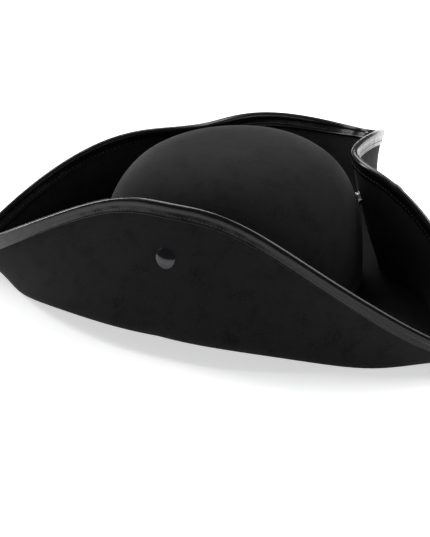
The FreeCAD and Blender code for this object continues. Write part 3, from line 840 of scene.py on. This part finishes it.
def wall_depth(seat, outward, inset):
    """Distance in from a seat to the crown's outer or inner face."""
    depths = np.linspace(0, 30 * MM, 3001)
    line = seat - outward * depths[:, None]
    length, height = CROWN_LENGTH - inset, CROWN_HEIGHT - inset
    width = length * CROWN_WIDTH / CROWN_LENGTH
    spread = np.hypot(line[:, 0] / width, line[:, 1] / length)
    inside = spread ** CROWN_WALL_POWER + (line[:, 2] / height) ** CROWN_TOP_POWER < 1
    return float(depths[np.argmax(inside)])


for name, (seat, outward) in SEATS.items():
    dimple = DIMPLES[name]
    back = CAP_SEAT - wall_depth(seat, outward, FELT)
    stud = turned_piece(name + "_rivet_cap", cap_profile(back - POST_PAST_BACK + dimple),
                        seat - outward * dimple, outward, nickel)
    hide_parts(name + "_rivet_stud")
    plate = [(1e-9, back), (BACK_RADIUS - 0.2 * MM, back), (BACK_RADIUS, back - 0.3 * MM),
             (BACK_RADIUS, back - 1.0 * MM), (BACK_RADIUS - 0.25 * MM, back - 1.5 * MM),
             (BACK_RADIUS - 0.9 * MM, back - 1.75 * MM), (BACK_RADIUS / 2, back - BACK_DEPTH),
             (1e-9, back - BACK_DEPTH)]
    cap = turned_piece(name + "_inner_cap", plate, seat, outward, nickel)
    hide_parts(name + "_rivet_back")
    near = FIT - FELT / 2 - dimple
    far = -wall_depth(seat, outward, 0.0) - FIT
    flange, bore = SPACER_RADIUS - 0.1 * MM, POST_RADIUS + FIT
    spool = [(bore, near), (flange, near), (SPACER_RADIUS, near - FLANGE / 2),
             (flange, near - FLANGE), (WAIST_RADIUS, near - FLANGE * 1.6),
             (WAIST_RADIUS, far + FLANGE * 1.6), (flange, far + FLANGE),
             (SPACER_RADIUS, far + FLANGE / 2), (flange, far), (bore, far), (bore, near)]
    spacer = turned_piece(name + "_spool", spool, seat, outward, aluminium)
    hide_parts(name + "_spacer")

# ---------------------------------------------------------------------------------------------
# Studio: a table of white acrylic lit from below, so that it stays white under the hat and throws
# light up on the front flap. Soft lights stand on the left, behind and on the right, and the room
# in front is left dim.
# ---------------------------------------------------------------------------------------------
TABLE_GLOW = 0.6
floor_paint, tree, shader = new_material("white_acrylic_table")
place = add_node(tree, "ShaderNodeTexCoord")
sweep = add_node(tree, "ShaderNodeTexNoise", {"Vector": (place, "Object"), "Scale": 3.0})
tone = add_node(tree, "ShaderNodeValToRGB", {"Fac": (sweep, "Fac")})
tone.color_ramp.elements[0].color = srgb("f2f2f1")
tone.color_ramp.elements[1].color = srgb("f6f6f5")
shader.inputs["Roughness"].default_value = 0.9
shader.inputs["Emission Color"].default_value = srgb("ffffff")
shader.inputs["Emission Strength"].default_value = TABLE_GLOW
tree.links.new(tone.outputs["Color"], shader.inputs["Base Color"])

FLOOR_SIZE = 12.0
table_top, half = cad_box[0].z - 0.2 * MM, FLOOR_SIZE / 2
corners = [(-half, -half, table_top), (half, -half, table_top), (half, half, table_top),
           (-half, half, table_top)]
floor_mesh = bpy.data.meshes.new("studio_floor")
floor_mesh.from_pydata(corners, [], [(0, 1, 2, 3)])
floor_mesh.materials.append(floor_paint)
floor = bpy.data.objects.new("studio_floor", floor_mesh)
bpy.context.scene.collection.objects.link(floor)

AZIMUTH, ELEVATION, ROLL = 26.6, 20.6, 1.0  # where the camera stands, in degrees
DISTANCE = 1.834
LENS = 173.2
AIM = Vector((-3.6, -20.3, 16.0)) * MM
STAND = Vector((0, 0, 60 * MM))             # the middle of the hat, from which distance is taken


def studio_direction(azimuth, elevation):
    """Direction out from the hat: azimuth from the front towards +X, then up."""
    turn, rise = math.radians(azimuth), math.radians(elevation)
    level = math.cos(rise)
    return Vector((math.sin(turn) * level, -math.cos(turn) * level, math.sin(rise)))


camera_data = bpy.data.cameras.new("camera")
camera_data.lens = LENS
camera = bpy.data.objects.new("camera", camera_data)
bpy.context.scene.collection.objects.link(camera)
camera.location = STAND + studio_direction(AZIMUTH, ELEVATION) * DISTANCE
camera.rotation_euler = (AIM - camera.location).to_track_quat("-Z", "Y").to_euler()
camera.rotation_euler.rotate_axis("Z", math.radians(ROLL))
bpy.context.scene.camera = camera

LIGHT_DISTANCE = 1.6
LIGHTS = (                                  # name, azimuth, elevation, width, height, power
    ("left_softbox", 263, 24, 0.4, 0.9, 11.5),
    ("high_left", 240, 56, 0.8, 0.8, 6.0),
    ("back_left", 212, 40, 0.7, 0.9, 8.5),
    ("back_right", 166, 48, 0.8, 0.9, 9.5),
    ("right", 122, 54, 0.7, 0.8, 6.5),
)
for name, azimuth, elevation, width, height, power in LIGHTS:
    data = bpy.data.lights.new(name, "AREA")
    data.shape, data.size, data.size_y, data.energy = "RECTANGLE", width, height, power
    lamp = bpy.data.objects.new(name, data)
    bpy.context.scene.collection.objects.link(lamp)
    lamp.location = studio_direction(azimuth, elevation) * LIGHT_DISTANCE
    lamp.rotation_euler = (-lamp.location).to_track_quat("-Z", "Y").to_euler()

world = bpy.data.worlds.new("dim_room")
bpy.context.scene.world = world
world.use_nodes = True
world.node_tree.nodes["Background"].inputs["Color"].default_value = srgb("b9bcc2")
world.node_tree.nodes["Background"].inputs["Strength"].default_value = 0.25
bpy.context.scene.view_settings.view_transform = "Standard"
